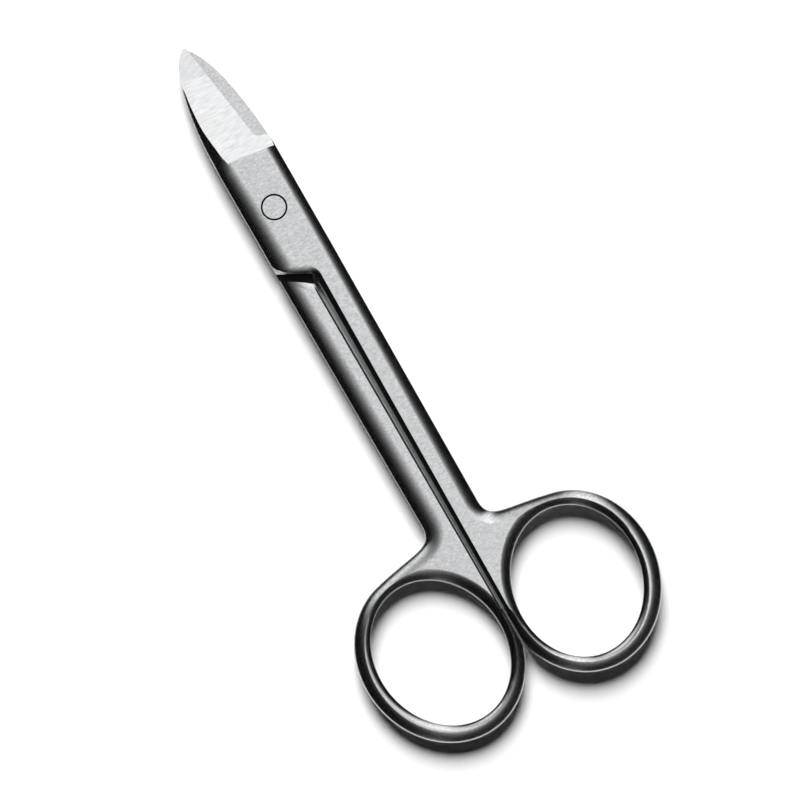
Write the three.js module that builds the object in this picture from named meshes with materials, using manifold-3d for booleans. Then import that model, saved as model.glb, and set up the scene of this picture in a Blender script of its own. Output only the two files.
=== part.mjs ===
// Toenail scissors: two forged stainless halves crossed at a lap joint and held by a flush rivet.
// Millimetres. The origin is on the pivot axis, in the plane that the closed pair rests on.
// +X runs to the blade tips, +Y to the lower half's finger ring and +Z up through the pivot.
import * as THREE from 'three';
import { mergeVertices } from 'three/addons/utils/BufferGeometryUtils.js';
import Module from 'manifold-3d';

const wasm = await Module();
wasm.setup();

// Distances along the tool, from the pivot axis
const bladeReach = 25.7; // to the tip
const bladeTaper = 7.5; // to where the blade starts to narrow
const grindStart = 8.15; // to where the grinding wheel was plunged in
const heelTab = 1.75; // from there on to the heel of the cutting edge
const tipFacet = 4.7; // length of the small facet at the tip
const lapEndReach = 8.4; // back to the end of the lap, at its long side
const ringReach = { upper: 66.4, lower: 65.7 }; // back to the middle of each finger hole

// Distances across the tool, from its centre line
const lapHalfWidth = 4.5;
const neckHalfWidth = 4.3; // outer edge of the shank at the neck
const ringSpread = 10.8; // to the middle of a finger hole
const seamAtLap = { upper: 0.15, lower: 0.39 }; // to each shank's edge along the gap, beside the lap
const seamAtRing = 0.14; // half the gap between the rings
const heelLap = 2.7; // how far a cutting edge has passed the centre line, at its heel
const tipLap = 0.3; // the same at the tip

// Thicknesses
const pairThickness = 3.8; // both laps, face to face
const limbRelief = 0.2; // shank and ring are this much thinner than the pair
const rideGap = 0.1; // between the two laps
const plungeDepth = 0.3; // of the ground face, where it starts
const facetThickness = 0.34; // blade at the start of the tip facet
const tipThickness = 0.2;

// Finger ring
const holeLength = 21.6;
const holeWidth = 18.2;
const ringTilt = 10; // degrees, leaning outwards towards the shank
const ringEndBand = 2.35; // width of the ring's bar at the ends of the hole
const ringSideBand = 2.5; // and at its sides
const ringSetback = 0.2; // the outside is this much further back than the hole
const ringOutset = 0.25; // and this much further out
const ringSeamStart = 97; // degrees round the ring, just past the gap between the halves
const neckStart = 357; // degrees round the ring
const neckRingHandle = 7.4; // how far the neck's curve follows the ring
const neckShankHandle = 3.6; // how far it follows the shank
const neckSpan = 16.8; // from the middle of the hole forward to the straight shank

// Blade
const bellyHandle = 9; // the blade's side leaves the lap along this handle
const bellyDrop = 0.2;
const noseHandle = 3.4; // and comes into the tip along this one
const noseRise = 3.1;
const grindTilt = 5; // degrees, down towards the cutting edge
const plungeSkew = 5; // degrees off square
const plungeRadius = 0.5;
const edgeAngle = 72; // degrees, of the narrow bevel that makes the edge
const heelRadius = 0.5;
const heelSkew = 13; // degrees off square
const heelTabRadius = 0.9;
const hollowDepth = 0.14; // of the hollow grind on the inner face, at the heel
const hollowWidth = 5.6;
const hollowOffset = 1.1; // from the centre line, towards the blade's back

// Lap joint
const lapEndSlant = 27; // degrees off square
const lapCornerRadius = 1.1;
const lapFilletRadius = 1.2;
const shoulderGap = 0.9; // between a lap's end and the other half's shoulder, at the flank
const shoulderSlant = 34; // degrees off square
const shoulderChamfer = 0.45;
const shoulderRadius = 1; // of its corner beside the gap

// Rounded edges, as widths in plan
const spineRoll = 2.5; // back of the blade and long side of the lap
const tipRollShare = 0.75; // of the blade's half width, where the roll runs out at the tip
const lapRoll = 1.3; // short side of the lap
const shankRoll = 1.9; // outer side of the shank at the neck, outer face
const lapInnerRoll = 2.2; // outer side of the shank beside the lap, inner face
const neckInnerRoll = 2.4; // and at the neck
const ringRoll = 1.55; // outside of the ring, both faces
const holeRoll = 0.7; // round the finger hole, both faces
const webRoll = 0.95; // how much wider that is where the hole comes closest to the neck
const webTurn = { upper: 22, lower: 60 }; // degrees round the hole to that place
const seamRoll = 0.95; // along the gap beside the lap, outer face
const seamRollEnd = 0.5; // and between the rings
const seamBreak = 0.45; // along the gap, inner face

// How deep the rounded edges fall, as a share of their width
const softFall = 0.45; // back of the blade, inner edges of the shank
const crispFall = 0.72; // short side of the lap, outer edge of the shank
const ringFall = 0.8;
const seamFall = 1.3;

// How full their sections are: 2 is a quarter of an ellipse, less comes closer to a flat bevel
const softFullness = 2;
const crispFullness = 1.65;
const ringFullness = 1.8;
const seamFullness = 1.6;

// Rivet
const rivetRadius = 1.25;
const headLip = 0.45;
const tailLip = 0.35;
const headDepth = 0.8;
const tailDepth = 0.7;
const rivetChamfer = 0.12;
const runningClearance = 0.05;

// Facets
const rollSteps = 6;
const bladeSteps = 16;
const ringSteps = 60;
const neckSteps = 10;
const filletSteps = 5;
const pivotSides = 48;

// Heights over the middle plane of the pair, for a half with its outer face up
const outerFace = pairThickness / 2;
const limbInnerFace = outerFace - (pairThickness - limbRelief);
const lapInnerFace = rideGap / 2;

// Sizes that follow from those above
const heelReach = grindStart + heelTab;
const facetReach = bladeReach - tipFacet;
const headRadius = rivetRadius + headLip;
const tailRadius = rivetRadius + tailLip;
const cutterMargin = 3;

const radians = THREE.MathUtils.degToRad;
const tangentOf = (degrees) => Math.tan(radians(degrees));
const point = (x, y) => new THREE.Vector2(x, y);
const straight = (from, to) => new THREE.LineCurve(from, to);
const arc = (centre, radius, from, to) =>
  new THREE.EllipseCurve(centre.x, centre.y, radius, radius, radians(from), radians(to), to < from);
const rolled = (width, fall, fullness) => ({ width, drop: Math.abs(width) * fall, fullness });
const even = (edge) => () => edge;
const sharp = even(rolled(0, 0, 1));
const blended = (from, to) => (t) => ({
  width: THREE.MathUtils.lerp(from.width, to.width, t),
  drop: THREE.MathUtils.lerp(from.drop, to.drop, t),
  fullness: THREE.MathUtils.lerp(from.fullness, to.fullness, t),
});

// A closed mesh as a solid, and a solid as a mesh.
function solid(geometry) {
  geometry.deleteAttribute('normal');
  geometry.deleteAttribute('uv');
  const merged = mergeVertices(geometry, 1e-5);
  const vertProperties = new Float32Array(merged.attributes.position.array);
  const corners = Array.from(merged.index.array);
  const open = (i) => new Set(corners.slice(i - (i % 3), i - (i % 3) + 3)).size === 3;
  const triVerts = new Uint32Array(corners.filter((corner, i) => open(i)));
  return new wasm.Manifold(new wasm.Mesh({ numProp: 3, vertProperties, triVerts }));
}

function geometryOf(body) {
  const { vertProperties, triVerts } = body.getMesh();
  const geometry = new THREE.BufferGeometry();
  geometry.setAttribute('position', new THREE.BufferAttribute(new Float32Array(vertProperties), 3));
  geometry.setIndex(new THREE.BufferAttribute(new Uint32Array(triVerts), 1));
  geometry.computeVertexNormals();
  return geometry;
}

// Walls between level rings of equally many points, anticlockwise seen from above, and a cap at each end.
function stack(rings) {
  const count = rings[0].length;
  const index = [];
  for (let level = 0; level + 1 < rings.length; level++) {
    for (let i = 0; i < count; i++) {
      const a = level * count + i;
      const b = level * count + ((i + 1) % count);
      index.push(a, b, b + count, a, b + count, a + count);
    }
  }
  const last = (rings.length - 1) * count;
  const bottomCap = THREE.ShapeUtils.triangulateShape(rings[0].map((p) => point(p.x, p.y)), []);
  const topCap = THREE.ShapeUtils.triangulateShape(rings.at(-1).map((p) => point(p.x, p.y)), []);
  for (const [a, b, c] of bottomCap) index.push(c, b, a);
  for (const [a, b, c] of topCap) index.push(last + a, last + b, last + c);
  const geometry = new THREE.BufferGeometry();
  const positions = rings.flat().flatMap((p) => [p.x, p.y, p.z]);
  geometry.setAttribute('position', new THREE.Float32BufferAttribute(positions, 3));
  geometry.setIndex(index);
  return geometry;
}

// An outline as points with their inward direction and the rounding of the outer and the inner face there.
function rimOf(stretches) {
  const rim = [];
  for (const { curve, steps = 1, outer = sharp, inner = sharp } of stretches) {
    for (let i = 0; i < steps; i++) {
      const at = curve.getPoint(i / steps);
      rim.push({ at, outer: outer(i / steps, at), inner: inner(i / steps, at) });
    }
  }
  rim.forEach((place, i) => {
    const before = rim.at(i - 1).at;
    const after = rim[(i + 1) % rim.length].at;
    const arriving = place.at.clone().sub(before).normalize();
    const leaving = after.clone().sub(place.at).normalize();
    const along = arriving.clone().add(leaving).normalize();
    place.inward = point(-along.y, along.x).divideScalar(along.dot(leaving));
  });
  return rim;
}

// A plate whose two faces are rounded over towards its rim, with an upright wall left between them.
// A negative width flares the rim outwards, and overshoot carries both ends on straight, for a cutter.
function roundedPlate(rim, overshoot = 0) {
  const level = (face, height, way, out) =>
    rim.map((place) => {
      const { width, drop, fullness } = place[face];
      const fall = drop * (1 - (1 - out ** fullness) ** (1 / fullness));
      const spot = place.at.clone().addScaledVector(place.inward, width * (1 - out));
      return { x: spot.x, y: spot.y, z: height + way * fall };
    });
  const outs = Array.from({ length: rollSteps + 1 }, (_, i) => (1 - Math.cos((Math.PI * i) / rollSteps)) / 2);
  const rings = [
    ...outs.map((out) => level('inner', limbInnerFace, 1, out)),
    ...outs.toReversed().map((out) => level('outer', outerFace, -1, out)),
  ];
  if (overshoot) {
    rings.unshift(level('inner', limbInnerFace - overshoot, 1, 0));
    rings.push(level('outer', outerFace + overshoot, -1, 0));
  }
  return stack(rings);
}

// The far bounds of the outlines and cutters, clear of the tool on every side.
const front = bladeReach + cutterMargin;
const side = ringSpread + holeLength / 2 + ringSideBand + cutterMargin;
const back = Math.max(ringReach.upper, ringReach.lower) + holeLength / 2 + ringSideBand + cutterMargin;

// A stretch of an ellipse round the finger hole, its long axis leaning outwards.
const ringCurve = (centre, length, width, from, to) =>
  new THREE.EllipseCurve(
    centre.x, centre.y, length / 2, width / 2, radians(from), radians(to), false, -radians(ringTilt),
  );

// The blade's long side, from the lap to the tip, on the +Y side.
const bladeSide = new THREE.CubicBezierCurve(
  point(bladeTaper, lapHalfWidth),
  point(bladeTaper + bellyHandle, lapHalfWidth - bellyDrop),
  point(bladeReach - noseHandle, noseRise),
  point(bladeReach, 0),
);
const bladeRoll = (widest, fall, fullness) => (t, at) =>
  rolled(Math.min(widest, tipRollShare * Math.abs(at.y)), fall, fullness);

// The outside of a half: blade, both sides of the lap, the shank's outer side and the ring.
// On the other half's side it runs on past the gap, where the inside below trims it.
function outside(reach) {
  const ringLength = holeLength + 2 * ringEndBand;
  const ringWidth = holeWidth + 2 * ringSideBand;
  const ringCentre = point(-reach - ringSetback, -ringSpread - ringOutset);
  const ringArc = ringCurve(ringCentre, ringLength, ringWidth, ringSeamStart, neckStart);
  const neckRing = ringArc.getPoint(1);
  const neckLeaves = ringArc.getTangent(1).multiplyScalar(neckRingHandle);
  const neckShank = point(neckSpan - reach, -neckHalfWidth);
  const neck = new THREE.CubicBezierCurve(
    neckRing,
    neckRing.clone().add(neckLeaves),
    neckShank.clone().add(point(-neckShankHandle, 0)),
    neckShank,
  );
  const spineStart = point(bladeTaper, lapHalfWidth);
  const pastLap = point(-lapEndReach - shoulderGap, lapHalfWidth);
  const pastSeam = point(neckSpan - reach, lapHalfWidth);
  const lapBack = point(-lapEndReach, -lapHalfWidth);
  const lapFront = point(bladeTaper, -lapHalfWidth);
  const mirrored = bladeSide.clone();
  for (const name of ['v0', 'v1', 'v2', 'v3']) mirrored[name].y *= -1;
  const spine = new THREE.CubicBezierCurve(bladeSide.v3, bladeSide.v2, bladeSide.v1, bladeSide.v0);
  const spineEdge = even(rolled(spineRoll, softFall, softFullness));
  const ringEdge = rolled(ringRoll, ringFall, ringFullness);
  const shankEdge = rolled(shankRoll, crispFall, crispFullness);
  const lapEdge = rolled(lapRoll, crispFall, crispFullness);
  const neckInnerEdge = rolled(neckInnerRoll, softFall, softFullness);
  const lapInnerEdge = rolled(lapInnerRoll, softFall, softFullness);
  return rimOf([
    { curve: spine, steps: bladeSteps, outer: bladeRoll(spineRoll, softFall, softFullness) },
    { curve: straight(spineStart, pastLap), outer: spineEdge },
    { curve: straight(pastLap, pastSeam), outer: spineEdge },
    { curve: straight(pastSeam, ringArc.getPoint(0)) },
    { curve: ringArc, steps: ringSteps, outer: even(ringEdge), inner: even(ringEdge) },
    {
      curve: neck, steps: neckSteps,
      outer: blended(ringEdge, shankEdge), inner: blended(ringEdge, neckInnerEdge),
    },
    {
      curve: straight(neckShank, lapBack), steps: neckSteps,
      outer: blended(shankEdge, lapEdge), inner: blended(neckInnerEdge, lapInnerEdge),
    },
    { curve: straight(lapBack, lapFront), outer: even(lapEdge), inner: even(lapInnerEdge) },
    { curve: mirrored, steps: bladeSteps, outer: bladeRoll(lapRoll, crispFall, crispFullness) },
  ]);
}

// The slanted line that the lap ends on, as the distance behind the pivot at a distance across.
const lapEndAt = (y) => -lapEndReach - (lapHalfWidth - y) * tangentOf(lapEndSlant);

// The inside of a half: the lap's long side, its slanted end and the edge along the gap.
function inside(reach, seamStart) {
  const flankY = lapHalfWidth + rideGap;
  const turn = 180 - lapEndSlant;
  const cornerEnd = flankY - lapCornerRadius * (1 - Math.sin(radians(turn)));
  const cornerX = lapEndAt(cornerEnd) - lapCornerRadius * Math.cos(radians(turn));
  const corner = point(cornerX, flankY - lapCornerRadius);
  const filletY = -seamStart + lapFilletRadius;
  const filletStart = filletY - lapFilletRadius * Math.sin(radians(lapEndSlant));
  const fillet = point(lapEndAt(filletStart) - lapFilletRadius * Math.cos(radians(lapEndSlant)), filletY);
  const cornerArc = arc(corner, lapCornerRadius, 90, turn);
  const filletArc = arc(fillet, lapFilletRadius, -lapEndSlant, -90);
  const seamEnd = point(-reach, -seamAtRing);
  const seamBack = point(-back, -seamAtRing - rideGap);
  const frontRight = point(front, -side);
  const frontLeft = point(front, flankY);
  const backRight = point(-back, -side);
  const seamEdge = rolled(seamRoll, seamFall, seamFullness);
  const seamEndEdge = rolled(seamRollEnd, seamFall, seamFullness);
  const broken = even(rolled(seamBreak, 1, softFullness));
  const seamed = { outer: even(seamEdge), inner: broken };
  return rimOf([
    { curve: straight(frontRight, frontLeft) },
    { curve: straight(frontLeft, cornerArc.getPoint(0)) },
    { curve: cornerArc, steps: filletSteps, ...seamed },
    { curve: straight(cornerArc.getPoint(1), filletArc.getPoint(0)), ...seamed },
    { curve: filletArc, steps: filletSteps, ...seamed },
    {
      curve: straight(filletArc.getPoint(1), seamEnd), steps: neckSteps,
      outer: blended(seamEdge, seamEndEdge), inner: broken,
    },
    { curve: straight(seamEnd, seamBack), outer: even(seamEndEdge), inner: broken },
    { curve: straight(seamBack, backRight) },
    { curve: straight(backRight, frontRight) },
  ]);
}

// The finger hole, rounded over into both faces, most of all where it comes closest to the neck.
function fingerHole(reach, widestAt) {
  const flared = (t) => {
    const share = Math.max(0, Math.cos(2 * Math.PI * t - radians(widestAt))) ** 1.5;
    return rolled(-holeRoll - webRoll * share, ringFall, ringFullness);
  };
  const hole = ringCurve(point(-reach, -ringSpread), holeLength, holeWidth, 0, 360);
  return roundedPlate(rimOf([{ curve: hole, steps: ringSteps, outer: flared, inner: flared }]), cutterMargin);
}

// What is milled away under the lap and blade, back to the shoulder that faces the other lap's end.
// The shoulder is rounded into the gap beside it, and its edge is chamfered on the limb's inner face.
function lapMill(seamStart) {
  const shoulderAt = (y) => -lapEndReach - shoulderGap - (lapHalfWidth + y) * tangentOf(shoulderSlant);
  const corner = point(shoulderAt(-seamStart), -seamStart);
  const cornerStart = point(corner.x - shoulderRadius, -seamStart);
  const cornerEnd = point(shoulderAt(-seamStart - shoulderRadius), -seamStart - shoulderRadius);
  const outline = [
    point(front, -side),
    point(front, side),
    point(cornerStart.x, side),
    ...new THREE.QuadraticBezierCurve(cornerStart, corner, cornerEnd).getPoints(filletSteps),
    point(shoulderAt(-side), -side),
  ];
  const level = (z, shift) => outline.map(({ x, y }) => ({ x: x < 0 ? x - shift : x, y, z }));
  return stack([
    level(limbInnerFace - cutterMargin, shoulderChamfer + cutterMargin),
    level(limbInnerFace + shoulderChamfer, 0),
    level(lapInnerFace, 0),
  ]);
}

// What the wheel grinds off the blade's outer face: one long flat and a small facet at the tip.
function bladeGrind() {
  const plunge = outerFace - plungeDepth;
  const facet = lapInnerFace + facetThickness;
  const tip = lapInnerFace + tipThickness;
  const runOut = tip - ((facet - tip) / (bladeReach - facetReach)) * cutterMargin;
  const above = outerFace + cutterMargin;
  const profile = new THREE.Shape()
    .moveTo(grindStart, above)
    .lineTo(grindStart, plunge + plungeRadius)
    .quadraticCurveTo(grindStart, plunge, grindStart + plungeRadius, plunge)
    .lineTo(facetReach, facet)
    .lineTo(bladeReach, tip)
    .lineTo(front, runOut)
    .lineTo(front, above);
  const wheel = new THREE.ExtrudeGeometry(profile, {
    depth: 2 * side, bevelEnabled: false, curveSegments: filletSteps,
  });
  wheel.translate(0, 0, -side).rotateX(Math.PI / 2);
  return wheel.applyMatrix4(
    new THREE.Matrix4().makeShear(0, 0, tangentOf(plungeSkew), tangentOf(grindTilt), 0, 0),
  );
}

// What is cut off beside the cutting edge, as far back as the rounded heel.
// Its wall leans over the blade, which leaves the narrow bevel of the edge.
function edgeCut() {
  const edgeSlope = (heelLap - tipLap) / (bladeReach - heelReach);
  const edgeAt = (x) => -tipLap - (bladeReach - x) * edgeSlope;
  const heelY = edgeAt(heelReach);
  const heelAt = (y) => heelReach - (heelY - y) * tangentOf(heelSkew);
  const tabStart = heelTabRadius - lapHalfWidth;
  const tabCorner = heelAt(-lapHalfWidth);
  const outline = new THREE.Shape()
    .moveTo(front, edgeAt(front))
    .lineTo(heelReach + heelRadius, edgeAt(heelReach + heelRadius))
    .quadraticCurveTo(heelReach, heelY, heelAt(heelY - heelRadius), heelY - heelRadius)
    .lineTo(heelAt(tabStart), tabStart)
    .quadraticCurveTo(tabCorner, -lapHalfWidth, tabCorner - heelTabRadius, -lapHalfWidth)
    .lineTo(tabCorner - heelTabRadius, -side)
    .lineTo(front, -side);
  const cut = new THREE.ExtrudeGeometry(outline, {
    depth: outerFace + cutterMargin, bevelEnabled: false, curveSegments: filletSteps,
  });
  const lean = tangentOf(90 - edgeAngle);
  cut.applyMatrix4(new THREE.Matrix4().makeShear(0, 0, 0, 0, -lean * edgeSlope, lean));
  return cut.translate(0, 0, lapInnerFace - cutterMargin).translate(0, -lean * cutterMargin, 0);
}

// The shallow hollow on the blade's inner face, which runs out before the tip.
function innerHollow() {
  const half = hollowWidth / 2;
  const radius = (half * half + hollowDepth * hollowDepth) / (2 * hollowDepth);
  const spread = Math.asin(half / radius);
  const section = new THREE.Shape()
    .absarc(0, hollowDepth - radius, radius, Math.PI / 2 - spread, Math.PI / 2 + spread, false)
    .lineTo(-half, -cutterMargin)
    .lineTo(half, -cutterMargin);
  const length = facetReach - heelReach;
  const hollow = new THREE.ExtrudeGeometry(section, {
    depth: length, bevelEnabled: false, curveSegments: bladeSteps,
  });
  hollow.rotateX(Math.PI / 2).rotateZ(Math.PI / 2);
  hollow.rotateY(Math.atan(hollowDepth / length));
  return hollow.translate(heelReach, hollowOffset, lapInnerFace);
}

// The stepped hole that the rivet sits in, with its seat in the outer face.
function rivetSeat(seatRadius, seatDepth) {
  const floor = outerFace - seatDepth - runningClearance;
  const wall = seatRadius + runningClearance;
  const profile = [
    point(0, limbInnerFace - cutterMargin),
    point(rivetRadius + runningClearance, limbInnerFace - cutterMargin),
    point(rivetRadius + runningClearance, floor),
    point(wall, floor),
    point(wall, outerFace - rivetChamfer),
    point(wall + rivetChamfer + cutterMargin, outerFace + cutterMargin),
    point(0, outerFace + cutterMargin),
  ];
  return new THREE.LatheGeometry(profile, pivotSides).rotateX(Math.PI / 2);
}

// One half with its outer face up: forged, holed, milled, ground and drilled in that order.
function half(which, seatRadius, seatDepth) {
  const reach = ringReach[which];
  const forging = roundedPlate(outside(reach));
  const trimmed = roundedPlate(inside(reach, seamAtLap[which]));
  const cuts = [
    fingerHole(reach, webTurn[which]),
    lapMill(seamAtLap[which]),
    bladeGrind(),
    edgeCut(),
    innerHollow(),
    rivetSeat(seatRadius, seatDepth),
  ];
  const blank = solid(forging).intersect(solid(trimmed));
  return geometryOf(cuts.reduce((body, cut) => body.subtract(solid(cut)), blank));
}

// The rivet: a pin with a flush head above and a peened tail below.
function rivet() {
  const profile = [
    point(0, 0),
    point(tailRadius - rivetChamfer, 0),
    point(tailRadius, rivetChamfer),
    point(tailRadius, tailDepth),
    point(rivetRadius, tailDepth),
    point(rivetRadius, pairThickness - headDepth),
    point(headRadius, pairThickness - headDepth),
    point(headRadius, pairThickness - rivetChamfer),
    point(headRadius - rivetChamfer, pairThickness),
    point(0, pairThickness),
  ];
  return new THREE.LatheGeometry(profile, pivotSides).rotateX(Math.PI / 2);
}

const satinSteel = new THREE.MeshStandardMaterial({ color: 0xb7b9bb, roughness: 0.36, metalness: 1 });
const headSteel = new THREE.MeshStandardMaterial({ color: 0xbdbfc0, roughness: 0.32, metalness: 1 });

const upperHalf = new THREE.Mesh(half('upper', headRadius, headDepth), satinSteel);
upperHalf.name = 'upper_half';
upperHalf.position.z = pairThickness / 2;

const lowerHalf = new THREE.Mesh(half('lower', tailRadius, tailDepth), satinSteel);
lowerHalf.name = 'lower_half';
lowerHalf.position.z = pairThickness / 2;
lowerHalf.rotation.x = Math.PI;

const pivotRivet = new THREE.Mesh(rivet(), headSteel);
pivotRivet.name = 'pivot_rivet';

const scissors = new THREE.Group();
scissors.add(lowerHalf, pivotRivet, upperHalf);

export default scissors;
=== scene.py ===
import math

import bmesh
import bpy
from mathutils import Matrix, Vector


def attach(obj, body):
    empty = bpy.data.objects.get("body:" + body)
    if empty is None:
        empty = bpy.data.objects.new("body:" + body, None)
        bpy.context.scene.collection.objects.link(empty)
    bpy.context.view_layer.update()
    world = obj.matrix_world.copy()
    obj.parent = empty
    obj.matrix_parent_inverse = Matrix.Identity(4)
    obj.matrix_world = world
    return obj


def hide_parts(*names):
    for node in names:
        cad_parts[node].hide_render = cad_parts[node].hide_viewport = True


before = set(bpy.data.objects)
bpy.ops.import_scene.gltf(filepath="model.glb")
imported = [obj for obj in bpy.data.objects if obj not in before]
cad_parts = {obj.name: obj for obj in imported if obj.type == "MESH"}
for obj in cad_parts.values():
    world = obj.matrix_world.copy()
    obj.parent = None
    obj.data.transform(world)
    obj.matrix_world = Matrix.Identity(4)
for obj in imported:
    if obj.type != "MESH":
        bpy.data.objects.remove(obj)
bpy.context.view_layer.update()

# Camera
# A long lens looks straight down at the pair, which lies aslant with its tips towards the top left.
# The view is centred between the rivet and the rings.
mm = 0.001
view_middle = Vector((-32.15 * mm, -1.86 * mm, 1.9 * mm))
view_width = 112.2 * mm
lens_distance = 600 * mm
sensor_width = 36
clip_distance = 10
tool_angle = math.radians(29.82)
bpy.ops.object.camera_add()
camera = bpy.context.object
camera.name = "top_camera"
view_right = Vector((-math.sin(tool_angle), -math.cos(tool_angle), 0))
view_up = Vector((math.cos(tool_angle), -math.sin(tool_angle), 0))
view_back = Vector((0, 0, 1))
turned = Matrix((view_right, view_up, view_back)).transposed().to_4x4()
camera.matrix_world = Matrix.Translation(view_middle + view_back * lens_distance) @ turned
camera.data.sensor_width = sensor_width
camera.data.lens = sensor_width * lens_distance / view_width
camera.data.clip_end = clip_distance
bpy.context.scene.camera = camera
bpy.context.scene.view_settings.view_transform = "Standard"

# The two halves
# Each is one stainless forging, with a ground blade, a flat lap, a straight shank and a finger ring.
# Its edges are rolled over by different widths, so its body is drawn up level by level from its outline,
# and is then milled, ground and bored with cutters.

# Brushing leaves fine lines across the tool, which draw out along it whatever the steel mirrors.
# Where an edge leans by 37 degrees or more, the buff has left half the roughness of the flats.
line_depth = 0.004 * mm
line_bump = 0.5
line_stretch = 0.7
edge_roughness = 0.5
edge_facing = 0.8
flat_facing = 0.985


def linear(hex_colour):
    """An sRGB hex colour as linear red, green and blue, with full opacity."""
    values = [int(hex_colour[at:at + 2], 16) / 255 for at in (1, 3, 5)]
    return [value / 12.92 if value <= 0.04045 else ((value + 0.055) / 1.055) ** 2.4
            for value in values] + [1]


def node(tree, kind, settings=None, inputs=None):
    """Adds a node, sets its properties, and sets or links its inputs."""
    made = tree.nodes.new(kind)
    for key, value in (settings or {}).items():
        setattr(made, key, value)
    for key, value in (inputs or {}).items():
        if isinstance(value, bpy.types.NodeSocket):
            tree.links.new(value, made.inputs[key])
        else:
            made.inputs[key].default_value = value
    return made


def brushed_steel(name, dull, bright, smooth, rough, length, pitch):
    """Bare steel with lines across the tool, of a given length and pitch, that vary its colour and gloss."""
    material = bpy.data.materials.new(name)
    material.use_nodes = True
    tree = material.node_tree
    surface = tree.nodes["Principled BSDF"]
    place = node(tree, "ShaderNodeTexCoord").outputs["Object"]
    drawn = node(tree, "ShaderNodeMapping", None, {
        "Vector": place, "Scale": (1 / pitch, 1 / length, 1 / length)})
    lines = node(tree, "ShaderNodeTexNoise", None, {
        "Vector": drawn.outputs["Vector"], "Scale": 1, "Detail": 3, "Roughness": 0.6})
    depth_of_line = node(tree, "ShaderNodeMapRange", None, {
        "Value": lines.outputs["Fac"], "From Min": 0.3, "From Max": 0.7})
    # A Mix node's sockets share their names, so they go by number: 0 the share, 6 and 7 the colours.
    colour = node(tree, "ShaderNodeMix", {"data_type": "RGBA"}, {
        0: depth_of_line.outputs["Result"], 6: linear(dull), 7: linear(bright)})
    facing = node(tree, "ShaderNodeSeparateXYZ", None, {
        "Vector": node(tree, "ShaderNodeNewGeometry").outputs["Normal"]})
    level = node(tree, "ShaderNodeMath", {"operation": "ABSOLUTE"}, {0: facing.outputs["Z"]})
    worn_smooth = node(tree, "ShaderNodeMapRange", None, {
        "Value": level.outputs["Value"], "From Min": edge_facing, "From Max": flat_facing,
        "To Min": edge_roughness})
    grainy = node(tree, "ShaderNodeMapRange", None, {
        "Value": depth_of_line.outputs["Result"], "To Min": rough, "To Max": smooth})
    gloss = node(tree, "ShaderNodeMath", {"operation": "MULTIPLY"}, {
        0: grainy.outputs["Result"], 1: worn_smooth.outputs["Result"]})
    bump = node(tree, "ShaderNodeBump", None, {
        "Height": depth_of_line.outputs["Result"], "Strength": line_bump, "Distance": line_depth})
    across = node(tree, "ShaderNodeTangent", {"direction_type": "UV_MAP", "uv_map": "grain"})
    tree.links.new(colour.outputs[2], surface.inputs["Base Color"])
    tree.links.new(gloss.outputs["Value"], surface.inputs["Roughness"])
    tree.links.new(bump.outputs["Normal"], surface.inputs["Normal"])
    tree.links.new(across.outputs["Tangent"], surface.inputs["Tangent"])
    surface.inputs["Metallic"].default_value = 1
    surface.inputs["Anisotropic"].default_value = line_stretch
    return material


# Satin steel looks soft and slightly speckled, the ground blade is lighter with longer streaks, and its
# tip, from a finer wheel, is more even. Real lines are a few hundredths of a millimetre apart, too fine to
# show from here, so all three are drawn coarser.
satin = brushed_steel("stainless_satin_brushed", dull="#b2b3b4", bright="#dcddde",
                      smooth=0.3, rough=0.34, length=0.5 * mm, pitch=0.14 * mm)
ground = brushed_steel("stainless_ground_crosswise", dull="#c2c3c4", bright="#dcdcdd",
                       smooth=0.29, rough=0.33, length=1.6 * mm, pitch=0.17 * mm)
tip_ground = brushed_steel("stainless_ground_fine", dull="#c0c1c2", bright="#d6d7d8",
                           smooth=0.3, rough=0.34, length=1.2 * mm, pitch=0.17 * mm)

# Black is painted into the slot between the laps and the groove round the rivet, as painted shade for the
# deep shadow in these narrow gaps.
painted_shade_black = bpy.data.materials.new("painted_shade_black_matt")
painted_shade_black.use_nodes = True
painted_shade_surface = painted_shade_black.node_tree.nodes["Principled BSDF"]
painted_shade_surface.inputs["Base Color"].default_value = linear("#1a1a1a")
painted_shade_surface.inputs["Roughness"].default_value = 0.8

# Both halves are drawn the same way up, with the tips along +X, the rivet's axis at the origin and heights
# from the plane between the laps. The lower half is turned over at the end.
pair_thickness = 3.8 * mm
limb_thickness = 3.6 * mm
ride_gap = 0.1 * mm
outer_face = pair_thickness / 2
limb_inner_face = outer_face - limb_thickness
lap_inner_face = ride_gap / 2

# The outline of the blade, lap, shank and ring.
blade_reach = 25.7 * mm
blade_taper = 7.5 * mm
lap_half_width = 4.5 * mm
lap_middle_reach = 2.5 * mm
lap_end_reach = 8.4 * mm
shoulder_gap = 0.9 * mm
neck_half_width = 4.3 * mm
neck_span = 16.8 * mm
neck_start = math.radians(357)
neck_ring_handle = 7.4 * mm
neck_shank_handle = 3.6 * mm
upper_ring_reach = 66.4 * mm
lower_ring_reach = 65.7 * mm
ring_spread = 10.8 * mm
ring_tilt = math.radians(-10)
hole_length = 21.6 * mm
hole_width = 18.2 * mm
ring_end_band = 2.15 * mm
ring_side_band = 2.28 * mm
ring_setback = 0.2 * mm
ring_outset = 0.25 * mm
ring_seam_start = math.radians(97)
curve_steps = 40
ring_steps = 180

# Cutters reach past the forging by a margin on all sides.
margin = 3 * mm
front = blade_reach + margin
side = ring_spread + hole_length / 2 + ring_side_band + margin
back = upper_ring_reach + hole_length / 2 + ring_side_band + margin


def line(start, end):
    return lambda t: Vector(start).lerp(Vector(end), t)


def bezier(start, leaving, arriving, end):
    a, b, c, d = (Vector(point) for point in (start, leaving, arriving, end))
    return lambda t: (a * (1 - t) ** 3 + b * 3 * t * (1 - t) ** 2
                      + c * 3 * t * t * (1 - t) + d * t ** 3)


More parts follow.
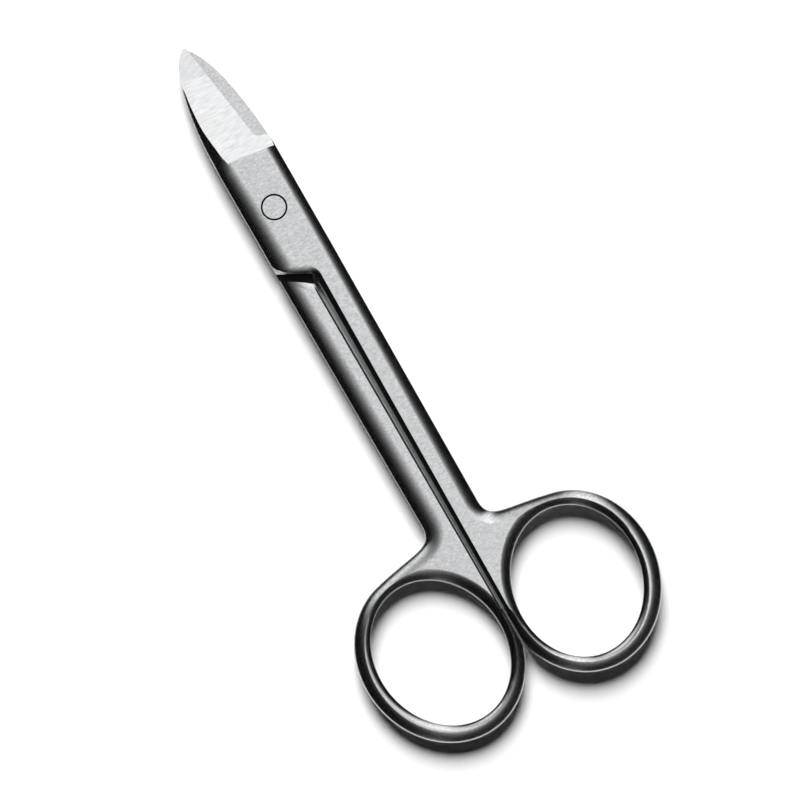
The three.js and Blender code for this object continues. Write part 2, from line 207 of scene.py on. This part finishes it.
def ellipse(centre, half_length, half_width, tilt, start, end):
    def at(t):
        angle = start + (end - start) * t
        x = half_length * math.cos(angle)
        y = half_width * math.sin(angle)
        lean = Vector((x * math.cos(tilt) - y * math.sin(tilt), x * math.sin(tilt) + y * math.cos(tilt)))
        return Vector(centre) + lean
    return at


# A rolled edge has a width, a slope that gives its drop, and a power: 1 is a straight bevel and 2 a quarter
# of an ellipse. The roll stops short of upright, where the plain side of the forging begins.
edge_stop = 0.955
roll_steps = 16
soft_slope = 0.4
soft_power = 1.9
crisp_slope = 0.59
crisp_power = 1.33
ring_slope = 0.62
ring_power = 1.4
ring_roll = 1.55 * mm
shank_roll = 1.87 * mm
shank_inner_roll = 2.45 * mm
neck_inner_roll = 2.85 * mm
lap_roll = 1.5 * mm
lap_middle_flank_roll = 2.65 * mm
lap_end_flank_roll = 2.85 * mm
spine_roll = 2.4 * mm
blade_roll = 2 * mm
blade_roll_run = 3 * mm
blade_roll_growth = 0.1
blade_roll_grows = 14.5 * mm
blade_slope = 0.6
blade_power = 1.3
tip_roll_share = 0.8


def steady(width, slope=0, power=1):
    """The same roll all along a stretch of edge."""
    return lambda t, at: (width, width * slope, power)


def tapered(start, end):
    """A roll that turns evenly from one into another."""
    def roll(t, at):
        return [a + (b - a) * t for a, b in zip(start(t, at), end(t, at))]
    return roll


def spine_edge(t, at):
    """The roll along the blade's back, from the lap's roll to the blade's own, narrower at the tip."""
    past = min(1, (at.x - blade_taper) / blade_roll_run)
    growth = blade_roll_growth * max(0, at.x - blade_roll_grows)
    width = spine_roll + (blade_roll - spine_roll) * past + growth
    width = min(width, tip_roll_share * at.y)
    slope = soft_slope + (blade_slope - soft_slope) * past
    return width, width * slope, soft_power + (blade_power - soft_power) * past


def heel_edge(t, at):
    """The roll on the cutting side, of which the heel is left once the edge is cut."""
    width = min(lap_roll, tip_roll_share * abs(at.y))
    return width, width * crisp_slope, crisp_power


sharp = steady(0)


def rim_of(stretches):
    """Points of an outline, with the inward direction and each face's roll: width, drop and power."""
    rim = []
    for curve, steps, outer, inner in stretches:
        for step in range(steps):
            t = step / steps
            at = curve(t)
            rim.append({"at": at, "outer": outer(t, at), "inner": inner(t, at)})
    for number, place in enumerate(rim):
        arriving = (place["at"] - rim[number - 1]["at"]).normalized()
        leaving = (rim[(number + 1) % len(rim)]["at"] - place["at"]).normalized()
        along = (arriving + leaving).normalized()
        place["inward"] = Vector((-along.y, along.x)) / along.dot(leaving)
    return rim


def drawn_up(name, count, levels):
    """A closed body: a face of count points, extruded through levels that each place every point."""
    bpy.ops.mesh.primitive_circle_add(vertices=count, radius=mm, fill_type="NGON")
    body = bpy.context.object
    body.name = name
    bpy.ops.object.mode_set(mode="EDIT")
    bpy.ops.mesh.select_mode(type="FACE")
    bpy.ops.mesh.select_all(action="SELECT")
    for number, level in enumerate(levels):
        if number:
            bpy.ops.mesh.extrude_region()
        mesh = bmesh.from_edit_mesh(body.data)
        cap = next(face for face in mesh.faces if face.select)
        for order, vert in enumerate(cap.verts):
            vert.co = level(order)
        bmesh.update_edit_mesh(body.data)
    bpy.ops.mesh.select_all(action="SELECT")
    bpy.ops.mesh.normals_make_consistent(inside=False)
    bpy.ops.object.mode_set(mode="OBJECT")
    body.select_set(False)
    return body


def rolled_plate(name, rim, top, bottom, overshoot=0):
    """A plate whose faces roll down to its rim, or flare out where a roll's width is negative.

    An overshoot carries the outline of each face straight on past the plate, for a cutter."""
    def level(face, height, out, way):
        def place(order):
            spot = rim[order]
            width, drop, power = spot[face]
            flat = spot["at"] + spot["inward"] * width * (1 - out)
            fall = drop / edge_stop * (1 - (1 - (edge_stop * out) ** power) ** (1 / power))
            return Vector((flat.x, flat.y, height + way * fall))
        return place
    outs = [(1 - math.cos(math.pi * step / roll_steps)) / 2 for step in range(roll_steps + 1)]
    levels = [level("inner", bottom, out, 1) for out in outs]
    levels += [level("outer", top, out, -1) for out in reversed(outs)]
    if overshoot:
        levels.insert(0, level("inner", bottom - overshoot, 0, 1))
        levels.append(level("outer", top + overshoot, 0, -1))
    return drawn_up(name, len(rim), levels)


def outside_plate(reach, belly_handle, belly_drop, nose_handle, nose_rise):
    """The forging's rim, from the tip along the back, round the ring and along the shank to the tip."""
    ring_length = hole_length / 2 + ring_end_band
    ring_width = hole_width / 2 + ring_side_band
    centre = (-reach - ring_setback, -ring_spread - ring_outset)
    ring_arc = ellipse(centre, ring_length, ring_width, ring_tilt, ring_seam_start, neck_start)
    just_before = 0.999
    neck_ring = ring_arc(1)
    neck_leaves = (ring_arc(1) - ring_arc(just_before)).normalized() * neck_ring_handle
    neck_shank = Vector((neck_span - reach, -neck_half_width))
    neck_arrives = Vector((neck_shank_handle, 0))
    neck = bezier(neck_ring, neck_ring + neck_leaves, neck_shank - neck_arrives, neck_shank)
    tip = (blade_reach, 0)
    nose = (blade_reach - nose_handle, nose_rise)
    belly = (blade_taper + belly_handle, lap_half_width - belly_drop)
    spine_end = (blade_taper, lap_half_width)
    beside_rivet = (lap_middle_reach, lap_half_width)
    past_lap = (-lap_end_reach - shoulder_gap, lap_half_width)
    past_seam = (neck_span - reach, lap_half_width)
    lap_back = (-lap_end_reach, -lap_half_width)
    lap_front = (blade_taper, -lap_half_width)
    low_belly = (belly[0], -belly[1])
    low_nose = (nose[0], -nose[1])
    round_bar = steady(ring_roll, ring_slope, ring_power)
    shank_edge = steady(shank_roll, crisp_slope, crisp_power)
    shank_inner_edge = steady(shank_inner_roll, soft_slope, soft_power)
    neck_inner_edge = steady(neck_inner_roll, soft_slope, soft_power)
    lap_edge = steady(lap_roll, crisp_slope, crisp_power)
    lap_middle = steady(lap_middle_flank_roll, soft_slope, soft_power)
    lap_flank = steady(lap_end_flank_roll, soft_slope, soft_power)
    spine = steady(spine_roll, soft_slope, soft_power)
    return rim_of([
        (bezier(tip, nose, belly, spine_end), curve_steps, spine_edge, sharp),
        (line(spine_end, beside_rivet), curve_steps, tapered(spine, lap_middle), sharp),
        (line(beside_rivet, past_lap), curve_steps, tapered(lap_middle, lap_flank), sharp),
        (line(past_lap, past_seam), 1, lap_flank, sharp),
        (line(past_seam, ring_arc(0)), 1, sharp, sharp),
        (ring_arc, ring_steps, round_bar, round_bar),
        (neck, curve_steps, tapered(round_bar, shank_edge), tapered(round_bar, neck_inner_edge)),
        (line(neck_shank, lap_back), 1, shank_edge, neck_inner_edge),
        (line(lap_back, lap_front), 1, lap_edge, shank_inner_edge),
        (bezier(lap_front, low_belly, low_nose, tip), curve_steps, heel_edge, sharp),
    ])


# The slanted end of the lap, and the seam along which the two shanks lie side by side.
lap_end_slant = math.radians(27)
lap_corner_radius = 4.2 * mm
lap_fillet_radius = 1.2 * mm
lap_end_roll = 1.2 * mm
lap_end_slope = 0.6
seam_roll = 0.95 * mm
seam_roll_end = 0.6 * mm
seam_break = 0.32 * mm
seam_slope = 0.69
seam_power = 1.18
fillet_steps = 12


def lap_end_at(y):
    return -lap_end_reach - (lap_half_width - y) * math.tan(lap_end_slant)


def inside_plate(reach, seam_at_lap, seam_at_ring):
    """A wider plate's rim, which cuts the forging to the lap's end and the seam."""
    flank = lap_half_width + ride_gap
    turn = math.pi - lap_end_slant
    corner_end = flank - lap_corner_radius * (1 - math.sin(turn))
    corner = (lap_end_at(corner_end) - lap_corner_radius * math.cos(turn), flank - lap_corner_radius)
    fillet_y = lap_fillet_radius - seam_at_lap
    fillet_start = fillet_y - lap_fillet_radius * math.sin(lap_end_slant)
    fillet = (lap_end_at(fillet_start) - lap_fillet_radius * math.cos(lap_end_slant), fillet_y)
    corner_arc = ellipse(corner, lap_corner_radius, lap_corner_radius, 0, math.pi / 2, turn)
    fillet_arc = ellipse(fillet, lap_fillet_radius, lap_fillet_radius, 0, -lap_end_slant, -math.pi / 2)
    seam_end = (-reach, -seam_at_ring)
    seam_back = (-back, -seam_at_ring - ride_gap)
    front_right = (front, -side)
    front_left = (front, flank)
    back_right = (-back, -side)
    soft_end = steady(lap_end_roll, lap_end_slope, soft_power)
    rolled = steady(seam_roll, seam_slope, seam_power)
    rolled_less = steady(seam_roll_end, seam_slope, seam_power)
    broken = steady(seam_break, seam_slope, seam_power)
    return rim_of([
        (line(front_right, front_left), 1, sharp, sharp),
        (line(front_left, corner_arc(0)), 1, sharp, sharp),
        (corner_arc, fillet_steps, soft_end, broken),
        (line(corner_arc(1), fillet_arc(0)), 1, soft_end, broken),
        (fillet_arc, fillet_steps, tapered(soft_end, rolled), broken),
        (line(fillet_arc(1), seam_end), 1, rolled, broken),
        (line(seam_end, seam_back), 1, rolled_less, broken),
        (line(seam_back, back_right), 1, sharp, sharp),
        (line(back_right, front_right), 1, sharp, sharp),
    ])


# The finger hole, flared at both faces and most where it is next to the web between ring and shank.
hole_roll = 0.8 * mm
web_roll = 0.9 * mm
web_spread = 0.7


def finger_hole(reach, web_turn):
    hole = ellipse((-reach, -ring_spread), hole_length / 2, hole_width / 2, ring_tilt, 0, 2 * math.pi)

    def flare(t, at):
        near_web = max(0, math.cos(2 * math.pi * t - web_turn)) ** web_spread
        width = hole_roll + web_roll * near_web
        return -width, width * ring_slope, ring_power
    rim = rim_of([(hole, ring_steps, flare, flare)])
    return rolled_plate("finger_hole", rim, outer_face, limb_inner_face, margin)


# The lap is milled to half the thickness, up to a slanting shoulder with a rounded and chamfered corner.
shoulder_slope = math.tan(math.radians(34))
shoulder_radius = 1 * mm
shoulder_chamfer = 0.22 * mm
shoulder_chamfer_run = 1.25 * mm


def quadratic(start, corner, end):
    """Points of a rounded corner, from its start to its end."""
    a, b, c = (Vector(point) for point in (start, corner, end))
    return [a * (1 - t) ** 2 + b * 2 * t * (1 - t) + c * t * t
            for t in (step / fillet_steps for step in range(fillet_steps + 1))]


def shoulder_at(y):
    return -lap_end_reach - shoulder_gap - (lap_half_width + y) * shoulder_slope


def lap_mill(seam_at_lap):
    corner = (shoulder_at(-seam_at_lap), -seam_at_lap)
    start = (corner[0] - shoulder_radius, -seam_at_lap)
    end = (shoulder_at(-seam_at_lap - shoulder_radius), -seam_at_lap - shoulder_radius)
    outline = [Vector((front, -side)), Vector((front, side)), Vector((start[0], side))]
    outline += quadratic(start, corner, end)
    at_seam = len(outline)
    outline += [Vector((shoulder_at(y), y)) for y in (-lap_half_width, -side)]

    def level(z, shift):
        def place(order):
            spot = outline[order]
            return Vector((spot.x - (shift if 1 < order < at_seam else 0), spot.y, z))
        return place
    return drawn_up("mill", len(outline), [
        level(limb_inner_face - margin, shoulder_chamfer_run * (1 + margin / shoulder_chamfer)),
        level(limb_inner_face + shoulder_chamfer, 0),
        level(lap_inner_face, 0),
    ])


# The slot between one half's shoulder and the other's lap is cut a little deeper, and its faces are painted
# black as painted shade.
slot_relief = 0.04 * mm
slot_wall_relief = 0.01 * mm
slot_overlap = 0.15 * mm


def slot_cutter(seam_at_lap):
    outer = -lap_half_width - ride_gap
    inner = seam_at_lap
    outline = [
        (shoulder_at(outer) - slot_wall_relief, outer),
        (lap_end_at(-outer) + slot_overlap, outer),
        (lap_end_at(-inner) + slot_overlap, inner),
        (shoulder_at(inner) - slot_wall_relief, inner),
    ]

    def level(z):
        return lambda order: Vector((*outline[order], z))
    return drawn_up("slot", len(outline), [
        level(limb_inner_face + shoulder_chamfer),
        level(lap_inner_face + slot_relief),
    ])


# The blade is ground away towards the tip on its outer face, askew and tilted towards the edge, and its
# last few millimetres are touched up with a finer wheel.
grind_start = 8.15 * mm
grind_depth = 0.24 * mm
grind_tilt = math.tan(math.radians(5.8))
grind_skew = math.tan(math.radians(7.7))
facet_reach = 21 * mm
facet_thickness = 0.34 * mm
facet_skew = math.tan(math.radians(15))
tip_thickness = 0.3 * mm
tip_cut = 0.006 * mm
wheel_half_width = 8 * mm


def grinding_passes():
    """What each wheel takes off, as points with their skew and tilt across the blade, and what it leaves."""
    heel = outer_face - grind_depth
    facet = lap_inner_face + facet_thickness
    tip = lap_inner_face + tip_thickness
    fall = (heel - facet) / (facet_reach - grind_start)
    tip_fall = (facet - tip) / (blade_reach - facet_reach)
    above = outer_face + margin
    heel_tilt = grind_tilt - fall * grind_skew
    facet_tilt = grind_tilt - fall * facet_skew
    tip_end = tip - tip_fall * margin
    blade_pass = [
        (grind_start, above, grind_skew, 0),
        (grind_start, heel, grind_skew, heel_tilt),
        (facet_reach, facet, facet_skew, facet_tilt),
        (front, tip_end, facet_skew, facet_tilt),
        (front, above, facet_skew, 0),
    ]
    tip_pass = [
        (facet_reach, above, facet_skew, 0),
        (facet_reach, facet - tip_cut, facet_skew, facet_tilt),
        (front, tip_end - tip_cut, facet_skew, facet_tilt),
        (front, above, facet_skew, 0),
    ]
    return (blade_pass, ground), (tip_pass, tip_ground)


def grinding_wheel(profile):
    def level(y):
        def place(order):
            x, z, skew, tilt = profile[order]
            return Vector((x + y * skew, y, z + y * tilt))
        return place
    return drawn_up("wheel", len(profile), [level(wheel_half_width), level(-wheel_half_width)])


# The cutting edge is cut straight from heel to tip, leaning a little, and leaves a tab behind the heel.
heel_reach = 9.9 * mm
heel_lap = 2.7 * mm
tip_lap = 0.3 * mm
heel_radius = 0.5 * mm
heel_skew = math.tan(math.radians(13))
heel_tab_radius = 0.9 * mm
edge_lean = math.tan(math.radians(2))


def edge_cutter():
    edge_slope = (heel_lap - tip_lap) / (blade_reach - heel_reach)

    def edge_at(x):
        return -tip_lap - (blade_reach - x) * edge_slope

    def heel_at(y):
        return heel_reach - (edge_at(heel_reach) - y) * heel_skew
    heel_y = edge_at(heel_reach)
    tab_start = heel_tab_radius - lap_half_width
    tab_corner = heel_at(-lap_half_width)
    outline = [Vector((front, edge_at(front)))]
    outline += quadratic((heel_reach + heel_radius, edge_at(heel_reach + heel_radius)),
                         (heel_reach, heel_y),
                         (heel_at(heel_y - heel_radius), heel_y - heel_radius))
    outline += quadratic((heel_at(tab_start), tab_start),
                         (tab_corner, -lap_half_width),
                         (tab_corner - heel_tab_radius, -lap_half_width))
    outline += [Vector((tab_corner - heel_tab_radius, -side)), Vector((front, -side))]

    def level(z):
        def place(order):
            spot = outline[order]
            lean = (z - lap_inner_face) * edge_lean
            return Vector((spot.x - lean * edge_slope, spot.y + lean, z))
        return place
    return drawn_up("edge", len(outline), [level(lap_inner_face - margin), level(outer_face + margin)])


# Each lap is bored for the rivet, with a wider seat for the rivet's head or tail.
rivet_radius = 1.25 * mm
head_radius = 1.64 * mm
head_depth = 0.8 * mm
tail_radius = 1.54 * mm
tail_depth = 0.7 * mm
rivet_chamfer = 0.03 * mm
rivet_groove = 0.2 * mm
running_clearance = 0.05 * mm
round_sides = 96


def round_level(radius, z):
    """A level of a turned body."""
    def place(order):
        angle = 2 * math.pi * order / round_sides
        return Vector((radius * math.cos(angle), radius * math.sin(angle), z))
    return place


def rivet_seat(seat_radius, seat_depth):
    floor = outer_face - seat_depth - running_clearance
    wall = seat_radius + rivet_groove
    bore = rivet_radius + running_clearance
    return drawn_up("seat", round_sides, [
        round_level(bore, limb_inner_face - margin),
        round_level(bore, floor),
        round_level(wall, floor),
        round_level(wall, outer_face - rivet_chamfer),
        round_level(wall + rivet_chamfer + margin, outer_face + margin),
    ])


# The two plates' faces are kept apart by a hair, so that the cut has no faces in one plane.
face_clearance = 0.002 * mm


def worked(body, tool, operation, left=None):
    """Works the body with a tool, which is used up and leaves its own material on the faces it cuts."""
    tool.data.materials.append(left or satin)
    modifier = body.modifiers.new("work", "BOOLEAN")
    modifier.operation = operation
    modifier.object = tool
    modifier.solver = "MANIFOLD"
    modifier.material_mode = "TRANSFER"
    bpy.context.view_layer.objects.active = body
    bpy.ops.object.modifier_apply(modifier=modifier.name)
    bpy.data.objects.remove(tool)


def forged_half(name, reach, blade, seam, web_turn, seat_radius, seat_depth):
    """One half, worked in the order forging, lap, slot, grind, edge and rivet's seat."""
    half = rolled_plate(name, outside_plate(reach, **blade), outer_face, limb_inner_face)
    half.data.materials.append(satin)
    inside = rolled_plate("inside", inside_plate(reach, **seam),
                          outer_face + face_clearance, limb_inner_face - face_clearance)
    worked(half, inside, "INTERSECT")
    worked(half, finger_hole(reach, web_turn), "DIFFERENCE")
    worked(half, lap_mill(seam["seam_at_lap"]), "DIFFERENCE")
    # The slot's faces are painted black, as painted shade.
    worked(half, slot_cutter(seam["seam_at_lap"]), "DIFFERENCE", painted_shade_black)
    for profile, left in grinding_passes():
        worked(half, grinding_wheel(profile), "DIFFERENCE", left)
    worked(half, edge_cutter(), "DIFFERENCE", ground)
    # The seat's faces are painted black, as painted shade in the groove round the rivet's head and tail.
    worked(half, rivet_seat(seat_radius, seat_depth), "DIFFERENCE", painted_shade_black)
    return half


# Faces that meet at less than the crease angle are shaded as one surface.
crease_angle = math.radians(30)
grain_size = 10 * mm


def smooth(piece):
    """Shades the piece smooth up to the crease angle, and leaves it selected."""
    bpy.ops.object.select_all(action="DESELECT")
    piece.select_set(True)
    bpy.context.view_layer.objects.active = piece
    bpy.ops.object.shade_smooth_by_angle(angle=crease_angle)


def lay_grain(piece):
    """Maps the piece flat, seen from above, so that its brushed lines lie across the tool."""
    grain = piece.data.uv_layers.new(name="grain")
    for loop in piece.data.loops:
        grain.data[loop.index].uv = piece.data.vertices[loop.vertex_index].co.xy / grain_size
    piece.select_set(False)


def finish_half(half, flipped):
    """Turns the half the right way up, sets it on the board's level and evens out its shading."""
    half.data.transform(Matrix.Rotation(math.pi if flipped else 0, 4, "X"))
    half.data.transform(Matrix.Translation((0, 0, pair_thickness / 2)))
    smooth(half)
    weighted = half.modifiers.new("weighted", "WEIGHTED_NORMAL")
    weighted.keep_sharp = True
    bpy.ops.object.modifier_apply(modifier=weighted.name)
    lay_grain(half)


lower_blade = {"belly_handle": 8.9 * mm, "belly_drop": 0.58 * mm,
               "nose_handle": 3 * mm, "nose_rise": 2.75 * mm}
lower_seam = {"seam_at_lap": 0.46 * mm, "seam_at_ring": 0.25 * mm}
lower_web_turn = math.radians(60)
lower = forged_half("lower_steel", lower_ring_reach, lower_blade, lower_seam, lower_web_turn,
                    tail_radius, tail_depth)
finish_half(lower, True)
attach(lower, "lower")
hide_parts("lower_half")

upper_blade = {"belly_handle": 8 * mm, "belly_drop": 0,
               "nose_handle": 1.5 * mm, "nose_rise": 3.2 * mm}
upper_seam = {"seam_at_lap": 0.12 * mm, "seam_at_ring": 0.02 * mm}
upper_web_turn = math.radians(20)
upper = forged_half("upper_steel", upper_ring_reach, upper_blade, upper_seam, upper_web_turn,
                    head_radius, head_depth)
finish_half(upper, False)
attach(upper, "upper")
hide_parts("upper_half")

# Rivet
# A stainless pin with a flush head in the upper lap and a peened tail in the lower lap.
# It was brushed with the halves after it was set, so only a fine groove shows round it.
rivet = drawn_up("rivet_steel", round_sides, [
    round_level(tail_radius - rivet_chamfer, 0),
    round_level(tail_radius, rivet_chamfer),
    round_level(tail_radius, tail_depth),
    round_level(rivet_radius, tail_depth),
    round_level(rivet_radius, pair_thickness - head_depth),
    round_level(head_radius, pair_thickness - head_depth),
    round_level(head_radius, pair_thickness - rivet_chamfer),
    round_level(head_radius - rivet_chamfer, pair_thickness),
])
smooth(rivet)
lay_grain(rivet)
rivet.data.materials.append(satin)
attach(rivet, "lower")
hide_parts("pivot_rivet")

# Table
# A plain matt white board under the pair, which takes its soft shadow.
# It lies a hair below the steel, so that no two faces are in one plane.
table_size = 4
table_drop = 0.02 * mm
bpy.ops.mesh.primitive_plane_add(size=table_size, location=(0, 0, -table_drop))
table = bpy.context.object
table.name = "table"
# Matt white card scatters light evenly and mirrors nothing.
paper = bpy.data.materials.new("white_board_matt")
paper.use_nodes = True
board = paper.node_tree.nodes["Principled BSDF"]
board.inputs["Base Color"].default_value = linear("#fafafa")
board.inputs["Roughness"].default_value = 0.9
board.inputs["Specular IOR Level"].default_value = 0
table.data.materials.append(paper)
table.select_set(False)

# Light
# In a dark room the steel mirrors a tall, soft panel from beyond the tips to above the pair, and a lower
# one at the left. Both fade towards their rims, and only the steel sees them.
# A lamp beyond the tips, which the steel doesn't mirror, lights the board and throws the shadows.
world = bpy.data.worlds.new("studio")
bpy.context.scene.world = world
world.use_nodes = True
world.cycles_visibility.diffuse = False
sky = world.node_tree
room_strength = 0.006
panel_core = 0.39
panel_rim = 1.26
panel_depth = 1000
panels = (
    {"rise": 63.5, "turn": -6.6, "lean": 5.7, "half_width": 20.9, "half_height": 60, "strength": 1.76},
    {"rise": 40, "turn": 40, "lean": 0, "half_width": 24, "half_height": 15, "strength": 1.5},
)
direction = node(sky, "ShaderNodeTexCoord").outputs["Generated"]
glow = room_strength
for panel in panels:
    rise, turn, lean = (math.radians(panel[angle]) for angle in ("rise", "turn", "lean"))
    across = view_right * math.cos(turn) + view_up * math.sin(turn)
    ahead = view_up * math.cos(turn) - view_right * math.sin(turn)
    upward = ahead * math.cos(rise) + view_back * math.sin(rise)
    toward = upward * math.cos(lean) + across * math.sin(lean)
    beside = across * math.cos(lean) - upward * math.sin(lean)
    panel_axes = Matrix((beside, toward.cross(beside), toward)).transposed()
    half_width = math.sin(math.radians(panel["half_width"]))
    half_height = math.sin(math.radians(panel["half_height"]))
    on_panel = node(sky, "ShaderNodeMapping", {"vector_type": "TEXTURE"}, {
        "Vector": direction, "Rotation": panel_axes.to_euler(),
        "Scale": (half_width, half_height, panel_depth)})
    off_centre = node(sky, "ShaderNodeVectorMath", {"operation": "LENGTH"}, {
        0: on_panel.outputs["Vector"]})
    lit = node(sky, "ShaderNodeMapRange", {"interpolation_type": "SMOOTHSTEP"}, {
        "Value": off_centre.outputs["Value"], "From Min": panel_core, "From Max": panel_rim,
        "To Min": panel["strength"], "To Max": 0})
    added = node(sky, "ShaderNodeMath", {"operation": "ADD"}, {0: glow, 1: lit.outputs["Result"]})
    glow = added.outputs["Value"]
sky.links.new(glow, sky.nodes["Background"].inputs["Strength"])
sky.nodes["Background"].inputs["Color"].default_value = linear("#ffffff")

lamp_distance = 3
lamp_rise = math.radians(44)
lamp_turn = math.radians(9)
lamp_half_angle = math.radians(17)
lamp_power = 166
lamp_ahead = view_up * math.cos(lamp_turn) - view_right * math.sin(lamp_turn)
lamp_toward = lamp_ahead * math.cos(lamp_rise) + view_back * math.sin(lamp_rise)
bpy.ops.object.light_add(type="AREA")
lamp = bpy.context.object
lamp.name = "board_lamp"
lamp.data.shape = "DISK"
lamp.data.size = 2 * lamp_distance * math.tan(lamp_half_angle)
lamp.data.energy = lamp_power
lamp.matrix_world = (Matrix.Translation(view_middle + lamp_toward * lamp_distance)
                     @ lamp_toward.to_track_quat("Z", "Y").to_matrix().to_4x4())
lamp.visible_glossy = False
lamp.select_set(False)
